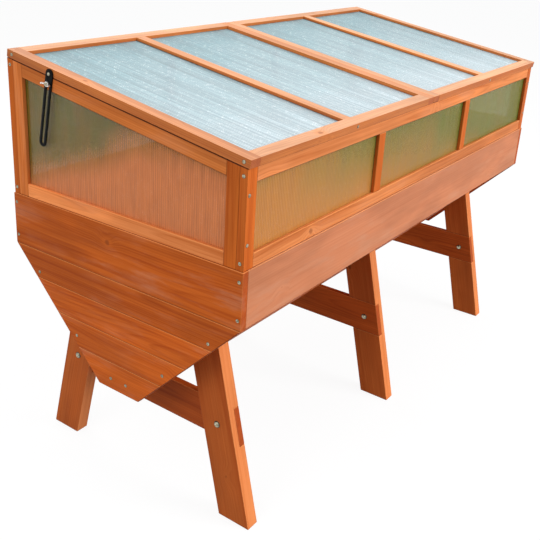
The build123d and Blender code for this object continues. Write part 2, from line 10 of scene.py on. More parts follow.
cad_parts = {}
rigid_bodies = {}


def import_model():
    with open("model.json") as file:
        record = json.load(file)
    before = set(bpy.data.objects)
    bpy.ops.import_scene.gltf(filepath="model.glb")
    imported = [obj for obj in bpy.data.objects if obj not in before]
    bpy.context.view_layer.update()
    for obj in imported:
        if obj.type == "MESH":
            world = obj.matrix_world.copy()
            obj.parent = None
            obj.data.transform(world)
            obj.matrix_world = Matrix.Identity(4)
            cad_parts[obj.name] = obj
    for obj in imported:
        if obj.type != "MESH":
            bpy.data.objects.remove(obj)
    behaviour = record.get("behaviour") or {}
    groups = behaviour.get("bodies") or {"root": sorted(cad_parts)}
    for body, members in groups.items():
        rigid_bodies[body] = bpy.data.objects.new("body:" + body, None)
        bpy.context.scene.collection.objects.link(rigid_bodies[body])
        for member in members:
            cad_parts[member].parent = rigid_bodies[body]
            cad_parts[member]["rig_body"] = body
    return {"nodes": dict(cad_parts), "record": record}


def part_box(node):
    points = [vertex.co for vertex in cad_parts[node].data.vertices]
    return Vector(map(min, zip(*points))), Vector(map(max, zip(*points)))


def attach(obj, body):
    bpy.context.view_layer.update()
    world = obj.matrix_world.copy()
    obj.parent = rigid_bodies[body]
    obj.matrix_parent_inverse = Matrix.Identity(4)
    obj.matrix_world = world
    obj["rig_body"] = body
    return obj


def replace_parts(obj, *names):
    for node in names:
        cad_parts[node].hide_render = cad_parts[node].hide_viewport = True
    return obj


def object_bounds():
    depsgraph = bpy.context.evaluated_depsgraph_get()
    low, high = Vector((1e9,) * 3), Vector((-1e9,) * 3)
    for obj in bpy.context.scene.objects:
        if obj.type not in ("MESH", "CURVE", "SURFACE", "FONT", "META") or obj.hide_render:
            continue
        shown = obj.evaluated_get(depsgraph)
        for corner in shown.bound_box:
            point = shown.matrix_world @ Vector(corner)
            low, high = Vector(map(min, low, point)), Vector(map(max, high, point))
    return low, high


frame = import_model()
cad_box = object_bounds()
nodes = frame["nodes"]
slots = {part["node"]: part["material_slot"] for part in frame["record"]["subparts"]}

# Sizes in metres
weld_distance = 0.00002
arris_round = 0.0016
arris_least_length = 0.012
strap_round = 0.0005
fitting_round = 0.0003
flute_pitch = 0.0065
flute_dip = 0.0003
screw_head_radius = 0.0046
screw_dome = 0.0008
screw_shank_radius = 0.0021
recess_reach = 0.0026
recess_half_width = 0.0006
recess_depth = 0.0012
hinge_screw_radius = 0.0029
hinge_screw_length = 0.012
hinge_screw_rows = (-0.021, 0.0, 0.021)

# Steps in a flute, a full turn and a bevel, and the floor of a recess set against its mouth
flute_steps = 4
round_steps = 32
bevel_steps = 2
recess_taper = 0.7

# Where the two painted views in a pane meet, the wood seen through it below and the dim view
# through it above: height over the bottom rail, slope, and blending band
end_view_rise = 0.165
end_view_slope = 0.42
end_view_top = 0.19
end_view_band = 0.12
long_view_rise = 0.03
long_view_slope = 0.2
long_view_band = 0.3

# Turned pieces as (radius, distance from the top of the head)
bolt_profile = (
    (0.0, 0.0), (0.0028, 0.0002), (0.0055, 0.0011), (0.0078, 0.0027), (0.0092, 0.0045),
    (0.0095, 0.005), (0.004, 0.0051), (0.004, 0.0535), (0.0032, 0.0545), (0.0, 0.0545),
)
pivot_profile = (
    (0.0, 0.0), (0.0022, 0.0002), (0.0038, 0.0008), (0.0048, 0.002), (0.005, 0.003),
    (0.003, 0.0031), (0.003, 0.0228), (0.0, 0.0228),
)

# Head of a screw as (share of its radius, share of its dome, grime and painted shade), from the
# rim up
screw_crown = ((1.0, 0.0, 1.0), (0.93, 0.6, 0.8), (0.72, 1.0, 0.1))

# Grime and painted shade on a turned piece: none inside this share of its radius, and its growth
# from there
undarkened_share = 0.5
grime_and_shade_growth = 2.2

# Wear and painted light of arrises that face up, sideways and down: rubbed pale with a painted
# highlight if positive, grimy with painted shade if negative
arris_wear_and_shading = (1.0, 0.35, -1.0)
level_rise = 0.25

# How far painted sunlight lightens the tops of some timbers, set against the rest
top_sunlight_shares = {"left_lid_side_rails": 0.6, "left_lid_bar": 0.8}

# Timbers of the lids, and those whose heads lie under them: painted shadow darkens the joint
# between, and painted shade the sides of the wall heads
lid_frames = ("_lid_side_rails", "_lid_cross_rails")
wall_heads = ("_top_rail", "_top_rails", "_stiles")
lid_joint_shadow = -1.4
wall_side_shade = -0.3

# Lightness of single boards, where it isn't left to chance, which gives 0 to 1
board_shades = {
    "end_rim_boards": 0.35,
    "end_boards_1": 0.4,
    "end_boards_2": 1.2,
    "end_boards_3": 1.0,
    "end_boards_4": 1.1,
    "end_wall_top_rails": 0.2,
    # The end wall's bottom rail is set light as painted light: it stands for the sun on its upper
    # bevel
    "end_wall_bottom_rails": 1.5,
    "left_front_leg": 0.7,
    "middle_front_leg": 1.0,
    "right_front_leg": 1.0,
    "left_back_leg": 0.8,
    "middle_brace": 1.0,
    "right_brace": 1.6,
}

# A line on which no two solids of a node share a place, to put them in order
sort_line = Vector((1.0, 0.37, 0.61))

# Where a board is cut from its log: place along it, and offsets from the pith
log_length = 40
pith_aside = 0.05
pith_near = 0.03
pith_far = 0.1

# Cosines between a normal and a direction: above the first two it faces it, below the last
# it is square to it
facing = 0.6
facing_back = 0.9
square_to = 0.1

# Angles in degrees
flat_angle = 1.0
sharp_angle = 32.0
round_angle = 40.0


# Materials

sunlit_top_early = (0.84, 0.59, 0.4, 1)
sunlit_top_late = (0.6, 0.37, 0.215, 1)
dust_colour = (0.52, 0.27, 0.17, 1)
knot_colour = (0.17, 0.035, 0.008, 1)
end_grain_colour = (0.34, 0.055, 0.012, 1)
rubbed_and_lit_colour = (0.84, 0.34, 0.11, 1)
grime_and_shade_colour = (0.06, 0.012, 0.004, 1)
rim_grime_and_shade_colour = (0.02, 0.018, 0.014, 1)
greener = (0.78, 1.0, 0.9, 1)
browner = (1.24, 0.98, 0.9, 1)

# Repeats per metre along, across and through a board
shake_repeats = (30.0, 60.0, 60.0)
wander_repeats = (0.9, 5.0, 5.0)
streak_repeats = (1.1, 42.0, 42.0)
line_repeats = (2.6, 170.0, 170.0)
fibre_repeats = (9.0, 520.0, 520.0)
blotch_repeats = (2.4, 8.0, 8.0)
bloom_repeats = (5.0, 22.0, 22.0)

# Repeats per metre across and along a sheet's flutes, and over its tint
haze_repeats = (130.0, 2.0, 1.0)
cloud_repeats = (4.0, 4.0, 1.0)
patch_repeats = (26.0, 5.0, 0.0)

# Repeats per metre on metal
spangle_repeats = 220.0
brush_repeats = (900.0, 900.0, 120.0)
peel_repeats = 900.0
coat_dust_repeats = 60.0


class Look:
    """A material's node tree, written in short calls."""

    def __init__(self, name):
        self.material = bpy.data.materials.new(name)
        self.material.use_nodes = True
        self.tree = self.material.node_tree
        self.shader = self.tree.nodes["Principled BSDF"]

    def add(self, kind, **settings):
        node = self.tree.nodes.new(kind)
        for key, value in settings.items():
            setattr(node, key, value)
        return node

    def feed(self, socket, value):
        """Join a socket to a node's output, or set it."""
        if isinstance(value, bpy.types.NodeSocket):
            self.tree.links.new(value, socket)
        else:
            socket.default_value = value

    def set(self, **values):
        """Feed the shader's own sockets, named with underscores for spaces."""
        for key, value in values.items():
            self.feed(self.shader.inputs[key.replace("_", " ")], value)

    def attribute(self, name, output="Vector"):
        return self.add("ShaderNodeAttribute", attribute_name=name).outputs[output]

    def math(self, operation, first, second=0.0, third=0.0):
        node = self.add("ShaderNodeMath", operation=operation)
        for socket, value in zip(node.inputs, (first, second, third)):
            self.feed(socket, value)
        return node.outputs[0]

    def scaled(self, vector, x, y, z):
        node = self.add("ShaderNodeVectorMath", operation="MULTIPLY")
        self.feed(node.inputs[0], vector)
        self.feed(node.inputs[1], (x, y, z))
        return node.outputs[0]

    def split(self, vector):
        node = self.add("ShaderNodeSeparateXYZ")
        self.feed(node.inputs[0], vector)
        return node.outputs

    def joined(self, x, y, z):
        node = self.add("ShaderNodeCombineXYZ")
        for socket, value in zip(node.inputs, (x, y, z)):
            self.feed(socket, value)
        return node.outputs[0]

    def noise(self, vector, detail=2.0, roughness=0.5, scale=1.0):
        node = self.add("ShaderNodeTexNoise")
        self.feed(node.inputs["Vector"], vector)
        self.feed(node.inputs["Scale"], scale)
        self.feed(node.inputs["Detail"], detail)
        self.feed(node.inputs["Roughness"], roughness)
        return node.outputs[0]

    def cells(self, vector, scale):
        node = self.add("ShaderNodeTexVoronoi", voronoi_dimensions="2D")
        self.feed(node.inputs["Vector"], vector)
        self.feed(node.inputs["Scale"], scale)
        return node.outputs["Distance"], node.outputs["Color"]

    def stretch(self, value, low, high, to_low=0.0, to_high=1.0):
        """Map a value from one range to another, clamped."""
        node = self.add("ShaderNodeMapRange", interpolation_type="SMOOTHSTEP")
        for socket, number in zip(node.inputs, (value, low, high, to_low, to_high)):
            self.feed(socket, number)
        return node.outputs[0]

    def mix(self, share, first, second, blend="MIX"):
        node = self.add("ShaderNodeMix", data_type="RGBA", blend_type=blend)
        self.feed(node.inputs["Factor"], share)
        self.feed(node.inputs[6], first)
        self.feed(node.inputs[7], second)
        return node.outputs[2]

    def ramp(self, value, *stops):
        node = self.add("ShaderNodeValToRGB")
        elements = node.color_ramp.elements
        while len(elements) < len(stops):
            elements.new(0.5)
        for element, (place, level) in zip(elements, stops):
            element.position = place
            element.color = (level, level, level, 1)
        self.feed(node.inputs[0], value)
        return node.outputs[0]

    def bump(self, height, strength, distance):
        node = self.add("ShaderNodeBump")
        self.feed(node.inputs["Height"], height)
        self.feed(node.inputs["Strength"], strength)
        self.feed(node.inputs["Distance"], distance)
        self.feed(self.shader.inputs["Normal"], node.outputs[0])


def grey(level):
    return (level, level, level, 1)


def stained_fir(
    name, early, late, dust=0.0, knots=0.5, wide_face_shading=(1, 1, 1, 1), top_sunlight=0.0, gloss=0.1
):
    """Stained fir: rings, streaks, fibres, knots, dark end grain, worn arrises with painted
    highlights and shade, and painted light on tops and wide faces.
    """
    look = Look(name)
    board = look.attribute("board_co")
    tone = look.attribute("board_tone", "Fac")
    wear_and_shading = look.attribute("edge_wear_and_shading", "Fac")
    end_grain = look.attribute("end_grain", "Fac")
    wide = look.attribute("wide_face", "Fac")
    top = look.attribute("top_face", "Fac")
    along, across, through = look.split(board)

    # Knots: cells with a shaken outline, some of which hold one
    knots_per_metre = 5.0
    knot_length = 0.75
    knot_size = 0.04
    shake_size = 0.012
    shake = look.noise(look.scaled(board, *shake_repeats), detail=2.0)
    shake = look.math("MULTIPLY_ADD", shake, shake_size, -shake_size / 2)
    spot_along = look.math("MULTIPLY_ADD", along, knot_length, shake)
    spot = look.joined(spot_along, look.math("ADD", across, shake), 0.0)
    gap, chance = look.cells(spot, knots_per_metre)
    chance = look.split(chance)[0]
    rarest = 1.0 - knots
    has_knot = look.stretch(chance, rarest, rarest + 0.06)
    knot_edge = look.math("SUBTRACT", gap, look.stretch(chance, rarest, 1.0, 0.0, knot_size))
    knot = look.stretch(knot_edge, -0.02, 0.008, 1.0, 0.0)
    knot = look.math("MULTIPLY", knot, has_knot)
    halo = look.math("MULTIPLY", look.stretch(knot_edge, 0.0, 0.07, 1.0, 0.0), has_knot)
    pull = look.math("MULTIPLY", look.stretch(gap, 0.0, 0.2, 1.0, 0.0), has_knot)

    # Year rings round a pith that wanders and that knots push aside
    ring_pitch = 0.0042
    wander_size = 0.05
    knot_push = 0.02
    wander = look.noise(look.scaled(board, *wander_repeats), detail=2.0)
    wander = look.math("MULTIPLY_ADD", wander, wander_size, -wander_size / 2)
    pith_side = look.math("ADD", across, wander)
    pith_side = look.math("MULTIPLY_ADD", pull, knot_push, pith_side)
    pith_depth = look.math("ADD", through, wander)
    squared = look.math("MULTIPLY", pith_side, pith_side)
    radius = look.math("SQRT", look.math("MULTIPLY_ADD", pith_depth, pith_depth, squared))
    ring = look.math("FRACT", look.math("DIVIDE", radius, ring_pitch))
    ring = look.ramp(ring, (0.0, 0.1), (0.5, 0.22), (0.88, 1.0), (1.0, 0.25))

    # Streaks, lines and fibres along the grain, and blotches of stain
    bend = look.math("MULTIPLY_ADD", wander, 0.4, look.math("MULTIPLY", pull, 0.012))
    bent = look.joined(along, look.math("ADD", across, bend), through)
    streak = look.noise(look.scaled(bent, *streak_repeats), detail=3.0, roughness=0.6)
    streak = look.stretch(streak, 0.32, 0.68)
    line = look.noise(look.scaled(bent, *line_repeats), detail=3.0, roughness=0.6)
    line = look.stretch(line, 0.34, 0.66)
    fibre = look.noise(look.scaled(bent, *fibre_repeats), detail=2.0)
    blotch = look.noise(look.scaled(board, *blotch_repeats), detail=3.0, roughness=0.6)
    blotch = look.stretch(blotch, 0.3, 0.7)

    # Colour: grain, painted sunlight on tops, the board's own tone, dust, knots, painted light and
    # shade on wide faces, end grain, wear with painted highlights and shade
    ring_share, streak_share, line_share, fibre_share = 0.3, 0.36, 0.26, 0.12
    tone_base, tone_range = 0.87, 0.26
    halo_share, knot_share, end_grain_share = 0.3, 0.55, 0.4
    rubbed_and_lit_share, grime_and_shade_share = 0.36, 0.7
    depth = look.math("MULTIPLY", streak, streak_share)
    depth = look.math("MULTIPLY_ADD", ring, ring_share, depth)
    depth = look.math("MULTIPLY_ADD", line, line_share, depth)
    depth = look.math("MULTIPLY_ADD", fibre, fibre_share, depth)
    colour = look.mix(depth, early, late)
    sunlit_top = look.mix(depth, sunlit_top_early, sunlit_top_late)
    # Painted sunlight: top faces are mixed towards pale colours
    colour = look.mix(look.math("MULTIPLY", top, top_sunlight), colour, sunlit_top)
    level = look.math("MULTIPLY_ADD", tone, tone_range, tone_base)
    level = look.math("MULTIPLY", level, look.stretch(blotch, 0.0, 1.0, 0.86, 1.08))
    colour = look.mix(1.0, colour, look.joined(level, level, level), blend="MULTIPLY")
    bloom = look.noise(look.scaled(board, *bloom_repeats), detail=4.0, roughness=0.65)
    bloom = look.math("MULTIPLY", look.stretch(bloom, 0.46, 0.72), blotch)
    colour = look.mix(look.math("MULTIPLY", bloom, dust), colour, dust_colour)
    colour = look.mix(look.math("MULTIPLY", halo, halo_share), colour, early)
    colour = look.mix(look.math("MULTIPLY", knot, knot_share), colour, knot_colour)
    # Painted light and shade: the wide faces are made darker on the legs and lighter on the stiles
    colour = look.mix(wide, colour, wide_face_shading, blend="MULTIPLY")
    colour = look.mix(look.math("MULTIPLY", end_grain, end_grain_share), colour, end_grain_colour)
    # Upper arrises: wear plus a painted highlight; lower arrises and joints: grime plus painted
    # shade
    rubbed_and_lit = look.math("MULTIPLY", look.math("MAXIMUM", wear_and_shading, 0.0), rubbed_and_lit_share)
    grime_and_shade = look.math("MULTIPLY", look.math("MINIMUM", wear_and_shading, 0.0), -grime_and_shade_share)
    colour = look.mix(rubbed_and_lit, colour, rubbed_and_lit_colour)
    colour = look.mix(grime_and_shade, colour, grime_and_shade_colour)

    # Gloss and fine relief
    least_rough, fibre_rough, blotch_rough = 0.46, 0.2, 0.08
    rough = look.math("MULTIPLY_ADD", fibre, fibre_rough, least_rough)
    rough = look.math("MULTIPLY_ADD", blotch, blotch_rough, rough)
    look.set(Base_Color=colour, Roughness=rough)
    look.set(Specular_IOR_Level=gloss)
    height = look.math("MULTIPLY_ADD", line, 0.5, look.math("MULTIPLY", fibre, 0.5))
    look.bump(height, 0.3, 0.0006)
    return look.material


def twin_wall(name, low, high, body_alpha, rib_alpha, dew_glint, flute, lines, mottle=0.0):
    """Twin-wall sheet: clear channels between ribs, two painted colours of what is seen in or
    through it that meet on a line, and drops painted as glints.
    """
    rib_start, rib_full = 0.22, 0.46
    drops_per_metre = 260.0
    drop_patches = 70.0
    view_waver = 0.24
    look = Look(name)
    sheet = look.attribute("sheet_co")
    across, up, share = look.split(sheet)
    phase = look.math("FRACT", look.math("DIVIDE", across, flute_pitch))
    rib = look.math("ABSOLUTE", look.math("SUBTRACT", phase, 0.5))
    rib = look.stretch(rib, rib_start, rib_full)
    haze = look.noise(look.scaled(sheet, *haze_repeats), detail=3.0, roughness=0.7)
    haze = look.stretch(haze, 0.34, 0.66)
    cloud = look.noise(look.scaled(sheet, *cloud_repeats), detail=3.0)
    cloud = look.stretch(cloud, 0.3, 0.7)
    flat_place = look.joined(across, up, 0.0)
    drop, _ = look.cells(flat_place, drops_per_metre)
    speck = look.noise(flat_place, detail=2.0, scale=drop_patches)
    drop = look.stretch(drop, 0.1, 0.3, 1.0, 0.0)
    drop = look.math("MULTIPLY", drop, look.stretch(speck, 0.5, 0.64))
    drop = look.math("MULTIPLY", drop, look.math("MULTIPLY_ADD", haze, 0.7, 0.3))
    drop = look.math("MULTIPLY", drop, dew_glint)
    # Painted view: the two colours stand for what is seen through or mirrored in the sheet, and
    # the patches are part of it
    place = look.math("SUBTRACT", share, view_waver / 2)
    place = look.math("MULTIPLY_ADD", cloud, view_waver, place)
    patch = look.noise(look.scaled(sheet, *patch_repeats), detail=4.0, roughness=0.65)
    patch = look.mix(look.stretch(patch, 0.36, 0.64), greener, browner)
    high = look.mix(mottle, high, patch, blend="MULTIPLY")
    colour = look.mix(look.stretch(place, 0.0, 1.0), low, high)
    level = look.math("MULTIPLY_ADD", haze, lines, 1.0 - (flute + lines) / 2)
    level = look.math("MULTIPLY_ADD", rib, flute, level)
    colour = look.mix(1.0, colour, look.joined(level, level, level), blend="MULTIPLY")
    # Drops of dew painted as white glints
    colour = look.mix(look.math("MULTIPLY", drop, 0.95), colour, grey(1.0))
    alpha = look.math("MULTIPLY_ADD", rib, rib_alpha - body_alpha, body_alpha)
    alpha = look.math("MULTIPLY_ADD", cloud, 0.06, alpha)
    alpha = look.math("MULTIPLY_ADD", drop, 0.3, alpha)
    rough = look.math("MULTIPLY_ADD", haze, 0.16, 0.3)
    look.set(Base_Color=colour, Alpha=alpha, Roughness=rough)
    look.set(Specular_IOR_Level=0.3, IOR=1.58)
    height = look.math("ADD", look.math("MULTIPLY", rib, -0.4), look.math("MULTIPLY", drop, 0.8))
    look.bump(height, 0.2, 0.0005)
    return look.material


def zinc_steel(name, dark, light):
    """Zinc plate with a faint mottled spangle, and grime and painted shade at the rims."""
    look = Look(name)
    place = look.add("ShaderNodeTexCoord").outputs["Object"]
    spangle = look.noise(place, detail=3.0, scale=spangle_repeats)
    brush = look.noise(look.scaled(place, *brush_repeats), detail=2.0)
    colour = look.mix(look.stretch(spangle, 0.3, 0.7), dark, light)
    grime_and_shade = look.attribute("rim_grime_and_shade", "Fac")
    # Grime and painted shade darken the rim of the head
    colour = look.mix(look.math("MULTIPLY", grime_and_shade, 0.9), colour, rim_grime_and_shade_colour)
    rough = look.math("MULTIPLY_ADD", spangle, 0.2, 0.26)
    look.set(Base_Color=colour, Roughness=rough)
    look.set(Metallic=1.0)
    look.bump(brush, 0.2, 0.0001)
    return look.material


def black_coat(name, clean, dusty):
    """Black powder coat with its fine orange-peel texture."""
    look = Look(name)
    place = look.add("ShaderNodeTexCoord").outputs["Object"]
    peel = look.noise(place, detail=2.0, scale=peel_repeats)
    dust = look.noise(place, detail=4.0, scale=coat_dust_repeats)
    colour = look.mix(look.stretch(dust, 0.4, 0.8), clean, dusty)
    rough = look.math("MULTIPLY_ADD", dust, 0.2, 0.36)
    look.set(Base_Color=colour, Roughness=rough)
    look.set(Specular_IOR_Level=0.08)
    look.bump(peel, 0.25, 0.0002)
    return look.material


end_fir = stained_fir(
    "end_fir",
    early=(0.6, 0.13, 0.016, 1),
    late=(0.34, 0.05, 0.004, 1),
    dust=0.35,
    knots=0.3,
)
rim_fir = stained_fir(
    "rim_fir",
    early=(0.63, 0.236, 0.113, 1),
    late=(0.53, 0.176, 0.08, 1),
    dust=0.5,
    knots=0.35,
)
# Legs: wide faces darkened by painted shade
leg_fir = stained_fir(
    "leg_fir",
    early=(0.74, 0.255, 0.085, 1),
    late=(0.52, 0.122, 0.025, 1),
    dust=0.03,
    knots=0.6,
    wide_face_shading=(0.62, 0.44, 0.26, 1),
)
brace_fir = stained_fir(
    "brace_fir",
    early=(0.46, 0.09, 0.013, 1),
    late=(0.26, 0.04, 0.005, 1),
    knots=0.4,
)
# Stiles: wide faces lightened by painted light
stile_fir = stained_fir(
    "stile_fir",
    early=(0.56, 0.135, 0.018, 1),
    late=(0.34, 0.056, 0.004, 1),
    dust=0.05,
    wide_face_shading=grey(1.24),
)
wall_fir = stained_fir(
    "wall_fir",
    early=(0.76, 0.262, 0.084, 1),
    late=(0.46, 0.108, 0.02, 1),
    dust=0.25,
    knots=0.65,
)
side_fir = stained_fir(
    "side_fir",
    early=(0.72, 0.222, 0.05, 1),
    late=(0.43, 0.09, 0.012, 1),
    dust=0.2,
    knots=0.65,
)
lid_fir = stained_fir(
    "lid_fir",
    early=(0.66, 0.2, 0.036, 1),
    late=(0.34, 0.064, 0.006, 1),
    dust=0.1,
    knots=0.6,
    top_sunlight=0.48,
    gloss=0.34,
)
# Painted reflection: the bluish colours of the lid sheets stand for the sky mirrored in them,
# lighter towards the bottom of each pane
lid_sheet = twin_wall(
    "lid_sheet",
    low=(0.54, 0.65, 0.69, 1),
    high=(0.29, 0.445, 0.485, 1),
    body_alpha=0.5,
    rib_alpha=0.64,
    dew_glint=1.0,
    flute=0.22,
    lines=0.34,
)
# End panes: the warm lower colour paints the trough's wood seen through the sheet, the olive upper
# colour the dim view through it
end_sheet = twin_wall(
    "end_sheet",
    low=(0.76, 0.255, 0.086, 1),
    high=(0.165, 0.125, 0.012, 1),
    body_alpha=0.52,
    rib_alpha=0.58,
    dew_glint=0.12,
    flute=0.1,
    lines=0.2,
    mottle=1.0,
)
# Long walls: the warm lower colour paints the trough's wood seen through the sheet, the olive
# upper colour the dim view through it
long_sheet = twin_wall(
    "long_sheet",
    low=(0.66, 0.27, 0.056, 1),
    high=(0.195, 0.2, 0.03, 1),
    body_alpha=0.52,
    rib_alpha=0.58,
    dew_glint=0.12,
    flute=0.08,
    lines=0.12,
    mottle=0.35,
)
zinc = zinc_steel("zinc_plate", (0.24, 0.22, 0.15, 1), (0.6, 0.56, 0.42, 1))
bright_zinc = zinc_steel("bright_zinc_plate", (0.6, 0.6, 0.58, 1), (0.86, 0.86, 0.83, 1))
black = black_coat("black_powder_coat", (0.001, 0.001, 0.0012, 1), (0.006, 0.006, 0.0065, 1))


# Pieces

def welded(node):
    """A node's mesh with its faces joined at their edges and flat faces made whole."""
    mesh = bmesh.new()
    mesh.from_mesh(nodes[node].data)
    bmesh.ops.remove_doubles(mesh, verts=mesh.verts, dist=weld_distance)
    bmesh.ops.dissolve_limit(
        mesh, angle_limit=math.radians(flat_angle), verts=mesh.verts, edges=mesh.edges
    )
    return mesh


def islands(mesh):
    """The mesh's separate solids, as lists of vertices, in the order of their places."""
    left = set(mesh.verts)
    found = []
    for vert in mesh.verts:
        if vert not in left:
            continue
        left.discard(vert)
        group, queue = [], [vert]
        while queue:
            here = queue.pop()
            group.append(here)
            for edge in here.link_edges:
                there = edge.other_vert(here)
                if there in left:
                    left.discard(there)
                    queue.append(there)
        found.append(group)
    return sorted(found, key=lambda group: centre_of(group).dot(sort_line))


def centre_of(group):
    return sum((vert.co for vert in group), Vector()) / len(group)


def one_way(direction):
    """A direction, turned so that its longest component is positive."""
    longest = max(direction, key=lambda x: round(abs(x), 4))
    return direction if longest > 0 else -direction


def place_piece(name, mesh, node, material):
    """A new piece that rides with a CAD node, in its material slot."""
    data = bpy.data.meshes.new(name)
    mesh.to_mesh(data)
    mesh.free()
    data.materials.append(material)
    piece = bpy.data.objects.new(name, data)
    bpy.context.scene.collection.objects.link(piece)
    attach(piece, nodes[node]["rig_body"])
    return piece


def is_arris(edge):
    """True for a long outer edge between two flats."""
    if not edge.is_manifold or edge.calc_length() < arris_least_length:
        return False
    return edge.is_convex and edge.calc_face_angle() > math.radians(sharp_angle)


def grain_frame(group):
    """A board's own axes: along its longest edge, across it, and through its widest face."""
    edges = {edge for vert in group for edge in vert.link_edges}
    faces = {face for vert in group for face in vert.link_faces}
    longest = max(edges, key=lambda edge: edge.calc_length())
    along = one_way((longest.verts[1].co - longest.verts[0].co).normalized())
    beside = [face for face in faces if abs(face.normal.dot(along)) < square_to]
    widest = max(beside, key=lambda face: face.calc_area())
    through = one_way(widest.normal.copy())
    return along, through.cross(along), through


def dress_timber(node, material):
    """A board, leg or bar with rounded arrises and its own stretch of grain."""
    mesh = welded(node)
    draw = random.Random(node)
    frames = []
    for group in islands(mesh):
        start = draw.uniform(0, log_length)
        aside = draw.uniform(-pith_aside, pith_aside)
        shift = Vector((start, aside, draw.uniform(pith_near, pith_far)))
        shade = board_shades.get(node, draw.random())
        frames.append((centre_of(group), grain_frame(group), shift, shade))
    wear_and_shading = mesh.faces.layers.float.new("edge_wear_and_shading")
    end_grain = mesh.faces.layers.float.new("end_grain")
    wide = mesh.faces.layers.float.new("wide_face")
    top = mesh.faces.layers.float.new("top_face")
    board = mesh.verts.layers.float_vector.new("board_co")
    tone = mesh.verts.layers.float.new("board_tone")
    arrises = [edge for edge in mesh.edges if is_arris(edge)]
    rounded = bmesh.ops.bevel(
        mesh,
        geom=arrises,
        offset=arris_round,
        offset_type="OFFSET",
        segments=bevel_steps,
        profile=0.5,
        affect="EDGES",
        clamp_overlap=True,
    )
    mesh.normal_update()
    above, beside, below = arris_wear_and_shading
    if node.endswith(wall_heads):
        # Painted shadow on the wall heads' top arrises, and painted shade on their sides
        above, beside = lid_joint_shadow, wall_side_shade
    elif node.endswith(lid_frames):
        below = lid_joint_shadow
    for face in rounded["faces"]:
        rise = face.normal.z
        face[wear_and_shading] = above if rise > level_rise else below if rise < -level_rise else beside
    for group in islands(mesh):
        centre = centre_of(group)
        middle, axes, shift, shade = min(frames, key=lambda item: (item[0] - centre).length)
        for vert in group:
            offset = vert.co - middle
            vert[board] = Vector([offset.dot(axis) for axis in axes]) + shift
            vert[tone] = shade
        for face in {face for vert in group for face in vert.link_faces}:
            face[end_grain] = float(abs(face.normal.dot(axes[0])) > facing)
            face[wide] = float(abs(face.normal.dot(axes[2])) > facing)
            face[top] = (face.normal.z > facing) * top_sunlight_shares.get(node, 1.0)
    piece = place_piece(f"{node}_timber", mesh, node, material)
    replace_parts(piece, node)


def dress_panes(node, material, painted_view=None):
    """Twin-wall sheets with shallow flutes, in the place of the flat panes."""
    source = welded(node)
    made = bmesh.new()
    sheet = made.verts.layers.float_vector.new("sheet_co")
    for group in islands(source):
        faces = {face for vert in group for face in vert.link_faces}
        normal = max(faces, key=lambda face: face.calc_area()).normal.copy()
        across = Vector((0, 1, 0)) if abs(normal.x) > facing else Vector((1, 0, 0))
        up = normal.cross(across).normalized()
        if up.z < 0:
            normal, up = -normal, -up
        middle = centre_of(group)
        corners = [vert.co - middle for vert in group]
        half_thick = max(corner.dot(normal) for corner in corners)
        flat = sorted((corner.dot(across), corner.dot(up)) for corner in corners)
        first, last = flat[: len(flat) // 2], flat[len(flat) // 2:]
        start, end = first[0][0], last[-1][0]
        lows = min(height for _, height in first), min(height for _, height in last)
        highs = max(height for _, height in first), max(height for _, height in last)
        floor, reach = min(lows), max(highs) - min(lows)
        count = flute_steps * round((end - start) / flute_pitch)
        rows = []
        for i in range(count + 1):
            part = i / count
            place = start + (end - start) * part
            dip = flute_dip * (1 + math.cos(2 * math.pi * i / flute_steps)) / 2
            row = []
            for depth in (half_thick - dip, dip - half_thick):
                for ends in (lows, highs):
                    height = ends[0] + (ends[1] - ends[0]) * part
                    vert = made.verts.new(middle + across * place + up * height + normal * depth)
                    share = (height - floor) / reach
                    if painted_view:
                        share = painted_view(vert.co)
                    vert[sheet] = Vector((i * flute_pitch / flute_steps, height, share))
                    row.append(vert)
            rows.append(row)
        for here, there in zip(rows, rows[1:]):
            for a, b in ((0, 1), (1, 3), (3, 2), (2, 0)):
                made.faces.new((here[a], here[b], there[b], there[a]))
        for row in (rows[0], rows[-1]):
            made.faces.new((row[0], row[1], row[3], row[2]))
    source.free()
    bmesh.ops.recalc_face_normals(made, faces=made.faces)
    piece = place_piece(f"{node}_sheet", made, node, material)
    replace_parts(piece, node)


def ring(mesh, place, radius, height, grime_and_shade=0.0):
    """A ring of vertices round a local axis, with the grime and painted shade given there."""
    layer = mesh.verts.layers.float["rim_grime_and_shade"]
    verts = []
    for i in range(round_steps):
        angle = 2 * math.pi * i / round_steps
        spot = Vector((radius * math.cos(angle), radius * math.sin(angle), height))
        verts.append(mesh.verts.new(place @ spot))
        verts[-1][layer] = grime_and_shade
    return verts


def turned_mesh():
    """An empty mesh that can hold grime and painted shade."""
    mesh = bmesh.new()
    mesh.verts.layers.float.new("rim_grime_and_shade")
    return mesh


def skin(mesh, lower, upper):
    """The band of faces between two rings."""
    for i in range(round_steps):
        j = (i + 1) % round_steps
        mesh.faces.new((lower[i], lower[j], upper[j], upper[i]))


def add_turned(mesh, place, profile):
    """One turned piece: its profile, from the top of its head to its foot, spun about its axis."""
    widest = max(radius for radius, _ in profile)
    rings = []
    for radius, drop in profile[1:-1]:
        grime_and_shade = max(0.0, (radius / widest - undarkened_share) * grime_and_shade_growth)
        rings.append(ring(mesh, place, radius, -drop, grime_and_shade))
    for upper, lower in zip(rings, rings[1:]):
        skin(mesh, lower, upper)
    for verts, (_, drop) in ((rings[0], profile[0]), (rings[-1], profile[-1])):
        tip = mesh.verts.new(place @ Vector((0, 0, -drop)))
        for i in range(round_steps):
            mesh.faces.new((verts[i], verts[(i + 1) % round_steps], tip))


